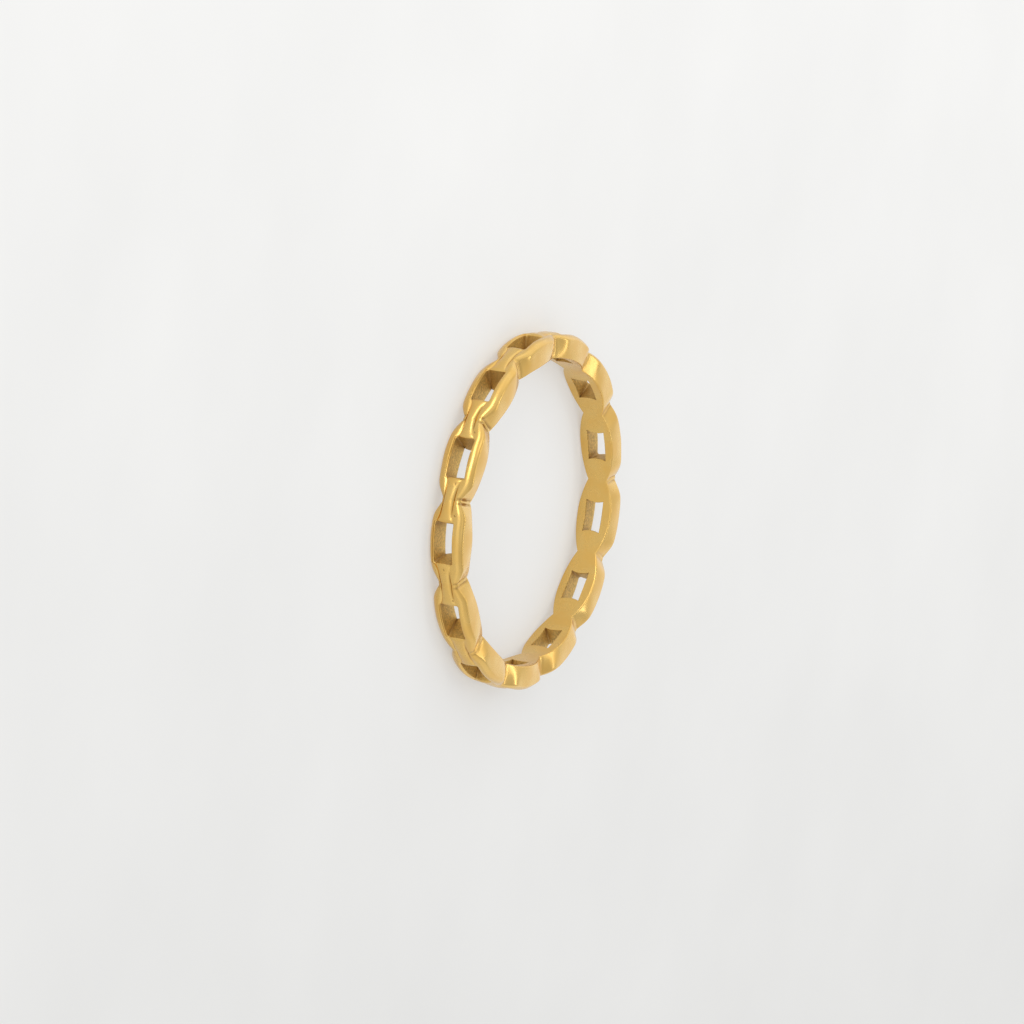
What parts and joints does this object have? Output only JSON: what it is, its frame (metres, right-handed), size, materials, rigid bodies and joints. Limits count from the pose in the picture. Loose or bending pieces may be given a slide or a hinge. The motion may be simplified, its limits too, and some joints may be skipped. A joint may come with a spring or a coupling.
{
  "type": "chain link ring",
  "caption": "Slim cast finger ring in the form of a closed chain: elongated box links with rounded rails and open windows, fused end to end and bridged by small bars.",
  "frame": {"origin": "on the ring's axis, at the level of its lowest edge, where it rests on a surface", "axes": "+Z along the ring's axis, upwards out of the finger hole; +X through the middle of one link"},
  "size_m": [0.02, 0.02, 0.0022],
  "materials": {
    "gold": "polished yellow gold plating, with as-cast matte walls inside the windows"
  },
  "bodies": {
    "root": {"chain_band": "gold"}
  },
  "joints": []
}
